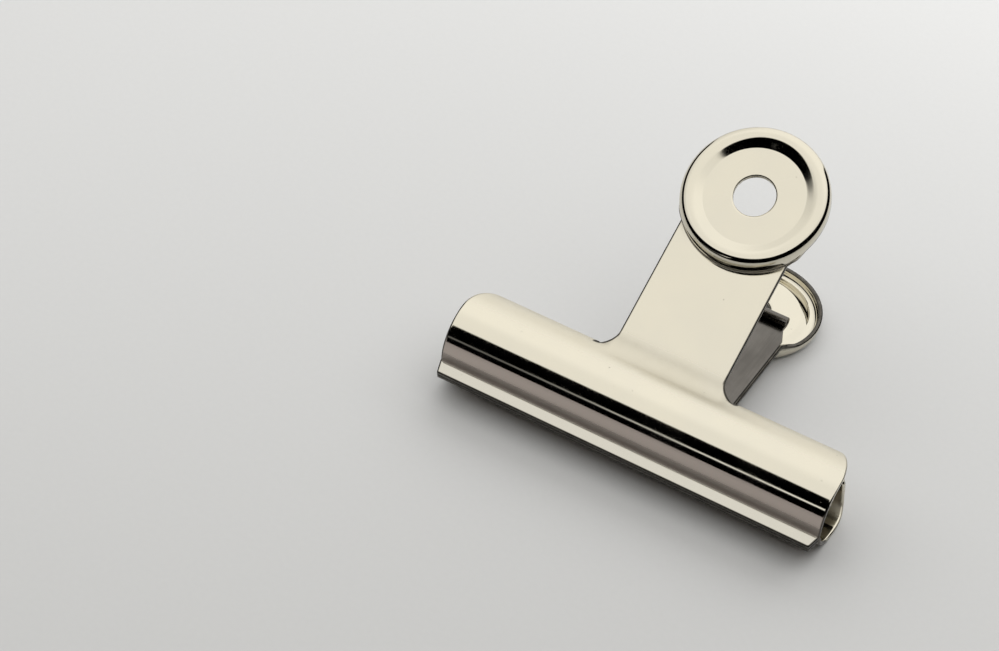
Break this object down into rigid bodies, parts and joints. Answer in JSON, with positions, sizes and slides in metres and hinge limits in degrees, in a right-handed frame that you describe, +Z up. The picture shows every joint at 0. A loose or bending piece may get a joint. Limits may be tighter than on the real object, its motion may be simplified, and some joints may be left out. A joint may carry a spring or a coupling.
{
  "type": "bulldog clip",
  "caption": "Nickel-plated bulldog paper clip: two pressed plates hinged at the barrel, a leaf spring between them, and round dished thumb discs with hanging holes.",
  "frame": {"origin": "centre of the bounding box, on the surface the clip lies on", "axes": "+X along the bar, +Y from the jaws to the thumb discs, +Z up, through the front plate"},
  "size_m": [0.076, 0.0672, 0.0431],
  "materials": {
    "nickel_plate": "bright nickel plating",
    "spring_steel": "tempered and plated, duller than the plates"
  },
  "bodies": {
    "back": {"back_plate": "nickel_plate", "leaf_spring": "spring_steel"},
    "front": {"front_plate": "nickel_plate"}
  },
  "joints": [
    {"name": "seam_hinge", "type": "hinge", "parent": "back", "child": "front", "pos_m": [0, -0.01674, 0.0095], "axis": [-1, 0, 0], "range_deg": [0, 30], "stiffness_Nm_per_rad": 0.86, "springref_deg": -22.92, "deforming": ["leaf_spring"]}
  ]
}
